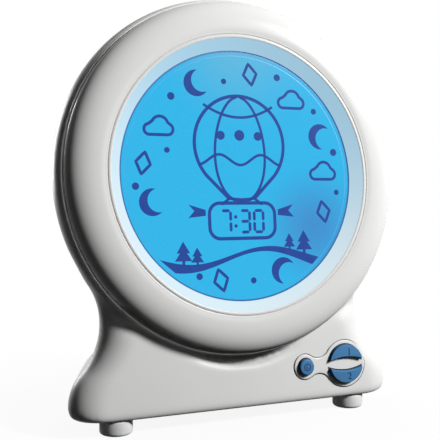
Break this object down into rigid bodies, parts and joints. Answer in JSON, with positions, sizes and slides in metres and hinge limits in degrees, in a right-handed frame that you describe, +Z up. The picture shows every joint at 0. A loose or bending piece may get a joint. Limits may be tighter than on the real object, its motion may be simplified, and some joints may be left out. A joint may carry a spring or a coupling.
{
  "type": "children's alarm clock with night light",
  "caption": "White table alarm clock for a child: a round lit dial in a wide ring, leaning back on a flared stand, with blue buttons low on the right.",
  "frame": {"origin": "on the table, under the middle of the clock's width and depth", "axes": "+Z up; the dial and the buttons face -Y; +X is to the right of someone who looks at the dial"},
  "size_m": [0.1544, 0.0642, 0.1796],
  "materials": {
    "white_shell": "gloss",
    "ring_light": "satin, lit from behind",
    "display_glass": "gloss, lit from behind",
    "diffuser_white": "matt",
    "button_blue": "satin",
    "foot_rubber": "matt",
    "board_green": "satin",
    "steel": "satin",
    "magnet_steel": "satin",
    "cone_paper": "matt",
    "flex_amber": "satin",
    "wire_red": "satin",
    "contact_brass": "gloss",
    "lamp_white": "gloss",
    "plate_grey": "matt",
    "black_plastic": "satin"
  },
  "bodies": {
    "clock_body": {"front_housing": "white_shell", "rear_housing": "white_shell", "bezel_ring": "white_shell", "light_ring": "ring_light", "display_panel": "display_glass", "diffuser_film": "diffuser_white", "opal_diffuser": "diffuser_white", "panel_frame": "diffuser_white", "panel_screws": "steel", "reflector_bowl": "diffuser_white", "lamp_board": "board_green", "backlight_lamps": "lamp_white", "main_board": "board_green", "board_chips": "black_plastic", "board_link": "black_plastic", "board_screws": "steel", "display_flex": "flex_amber", "button_plate": "white_shell", "key_board": "board_green", "key_switches": "black_plastic", "key_board_screws": "steel", "key_ribbon": "flex_amber", "speaker_basket": "black_plastic", "speaker_magnet": "magnet_steel", "speaker_cone": "cone_paper", "speaker_clamp": "steel", "speaker_screws": "steel", "speaker_wires": "wire_red", "power_jack": "black_plastic", "jack_contact": "contact_brass", "jack_wires": "wire_red", "base_plate": "plate_grey", "base_plate_screws": "steel", "housing_screws": "steel", "front_left_foot": "foot_rubber", "front_right_foot": "foot_rubber", "rear_left_foot": "foot_rubber", "rear_right_foot": "foot_rubber"},
    "round_key": {"round_button": "button_blue", "round_plunger": "black_plastic"},
    "upper_key": {"upper_button": "button_blue", "upper_plunger": "black_plastic"},
    "lower_key": {"lower_button": "button_blue", "lower_plunger": "black_plastic"}
  },
  "joints": [
    {"name": "round_key_press", "type": "slide", "parent": "clock_body", "child": "round_key", "axis": [0, 0.9949, -0.1011], "range_m": [0, 0.001], "stiffness_N_per_m": 500},
    {"name": "upper_key_press", "type": "slide", "parent": "clock_body", "child": "upper_key", "axis": [0, 0.9949, -0.1011], "range_m": [0, 0.001], "stiffness_N_per_m": 500},
    {"name": "lower_key_press", "type": "slide", "parent": "clock_body", "child": "lower_key", "axis": [0, 0.9949, -0.1011], "range_m": [0, 0.001], "stiffness_N_per_m": 500}
  ]
}
